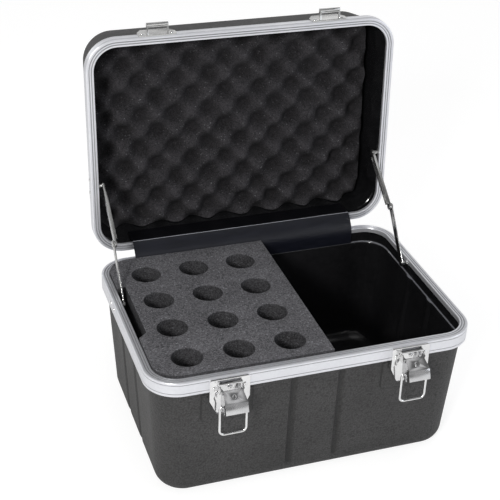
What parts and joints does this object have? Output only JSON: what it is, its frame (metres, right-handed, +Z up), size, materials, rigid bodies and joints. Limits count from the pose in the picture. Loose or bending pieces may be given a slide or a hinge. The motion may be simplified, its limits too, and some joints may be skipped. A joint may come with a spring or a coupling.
{
  "type": "microphone case",
  "caption": "Moulded carrying case with a foam block of round pockets, egg-crate foam in its hinged lid, draw latches with locks, folding lid stays and a bright rim.",
  "frame": {"origin": "middle of the flat underside of the base", "axes": "+X along the front to the right, +Y from the front to the hinges, +Z up; the lid stands open"},
  "size_m": [0.408, 0.4378, 0.4836],
  "materials": {
    "shell_plastic": "matte",
    "rim_aluminium": "satin",
    "pocket_foam": "matte",
    "egg_crate_foam": "matte",
    "cover_vinyl": "satin",
    "latch_chrome": "polished",
    "hinge_steel": "satin",
    "stay_steel": "satin",
    "grip_plastic": "satin"
  },
  "bodies": {
    "base": {"base_shell": "shell_plastic", "base_rim": "rim_aluminium", "mic_foam_block": "pocket_foam", "foam_base_pad": "pocket_foam", "hinge_cover": "cover_vinyl", "base_rivets": "latch_chrome", "hinge_base_leaf_left": "hinge_steel", "hinge_pin_left": "hinge_steel", "latch_plate_left": "latch_chrome", "lever_pin_left": "latch_chrome", "stay_base_bracket_left": "stay_steel", "hinge_base_leaf_right": "hinge_steel", "hinge_pin_right": "hinge_steel", "latch_plate_right": "latch_chrome", "lever_pin_right": "latch_chrome", "stay_base_bracket_right": "stay_steel"},
    "lid": {"lid_shell": "shell_plastic", "lid_rim": "rim_aluminium", "lid_egg_crate_foam": "egg_crate_foam", "lid_rivets": "latch_chrome", "hinge_lid_leaf_left": "hinge_steel", "lid_catch_left": "latch_chrome", "stay_lid_bracket_left": "stay_steel", "handle_bracket_left": "latch_chrome", "hinge_lid_leaf_right": "hinge_steel", "lid_catch_right": "latch_chrome", "stay_lid_bracket_right": "stay_steel", "handle_bracket_right": "latch_chrome"},
    "lever_left": {"latch_lever_left": "latch_chrome"},
    "lock_left": {"lock_plug_left": "latch_chrome"},
    "bail_left": {"latch_bail_left": "latch_chrome"},
    "stay_lower_left": {"stay_lower_arm_left": "stay_steel", "stay_rivet_outer_left": "stay_steel"},
    "stay_upper_left": {"stay_upper_arm_left": "stay_steel", "stay_rivet_inner_left": "stay_steel"},
    "lever_right": {"latch_lever_right": "latch_chrome"},
    "lock_right": {"lock_plug_right": "latch_chrome"},
    "bail_right": {"latch_bail_right": "latch_chrome"},
    "stay_lower_right": {"stay_lower_arm_right": "stay_steel", "stay_rivet_outer_right": "stay_steel"},
    "stay_upper_right": {"stay_upper_arm_right": "stay_steel", "stay_rivet_inner_right": "stay_steel"},
    "handle": {"handle_arm_left": "latch_chrome", "handle_arm_right": "latch_chrome", "handle_grip": "grip_plastic"}
  },
  "joints": [
    {"name": "lid_hinge", "type": "hinge", "parent": "base", "child": "lid", "pos_m": [0, 0.1482, 0.1772], "axis": [1, 0, 0], "range_deg": [0, 92.6], "deforming": ["hinge_cover"]},
    {"name": "stay_lower_pivot_left", "type": "hinge", "parent": "base", "child": "stay_lower_left", "pos_m": [-0.18885, 0.0473, 0.1661], "axis": [1, 0, 0], "range_deg": [0, 134.5]},
    {"name": "stay_upper_pivot_left", "type": "hinge", "parent": "lid", "child": "stay_upper_left", "pos_m": [-0.18705, 0.16029, 0.27595], "axis": [1, 0, 0], "range_deg": [-110.7, 0]},
    {"name": "lever_pivot_left", "type": "hinge", "parent": "base", "child": "lever_left", "pos_m": [-0.112, -0.154, 0.162], "axis": [-1, 0, 0], "range_deg": [-20, 70]},
    {"name": "bail_pivot_left", "type": "hinge", "parent": "lever_left", "child": "bail_left", "pos_m": [-0.112, -0.16044, 0.14636], "axis": [1, 0, 0], "range_deg": [-185, 12]},
    {"name": "lock_turn_left", "type": "hinge", "parent": "lever_left", "child": "lock_left", "pos_m": [-0.112, -0.16423, 0.16152], "axis": [0, -0.4835, 0.8754], "range_deg": [0, 90]},
    {"name": "stay_lower_pivot_right", "type": "hinge", "parent": "base", "child": "stay_lower_right", "pos_m": [0.18885, 0.0473, 0.1661], "axis": [1, 0, 0], "range_deg": [0, 134.5]},
    {"name": "stay_upper_pivot_right", "type": "hinge", "parent": "lid", "child": "stay_upper_right", "pos_m": [0.18705, 0.16029, 0.27595], "axis": [1, 0, 0], "range_deg": [-110.7, 0]},
    {"name": "lever_pivot_right", "type": "hinge", "parent": "base", "child": "lever_right", "pos_m": [0.112, -0.154, 0.162], "axis": [-1, 0, 0], "range_deg": [-20, 70]},
    {"name": "bail_pivot_right", "type": "hinge", "parent": "lever_right", "child": "bail_right", "pos_m": [0.112, -0.16044, 0.14636], "axis": [1, 0, 0], "range_deg": [-185, 12]},
    {"name": "lock_turn_right", "type": "hinge", "parent": "lever_right", "child": "lock_right", "pos_m": [0.112, -0.16423, 0.16152], "axis": [0, -0.4835, 0.8754], "range_deg": [0, 90]},
    {"name": "handle_pivot", "type": "hinge", "parent": "lid", "child": "handle", "pos_m": [0, 0.25342, 0.32077], "axis": [1, 0, 0], "range_deg": [-2.6, 177.4]}
  ],
  "couplings": [
    {"joint": "stay_lower_pivot_left", "follows": "lid_hinge", "ratio": 1.4466},
    {"joint": "stay_upper_pivot_left", "follows": "lid_hinge", "ratio": -1.1898},
    {"joint": "stay_lower_pivot_right", "follows": "lid_hinge", "ratio": 1.4466},
    {"joint": "stay_upper_pivot_right", "follows": "lid_hinge", "ratio": -1.1898}
  ]
}
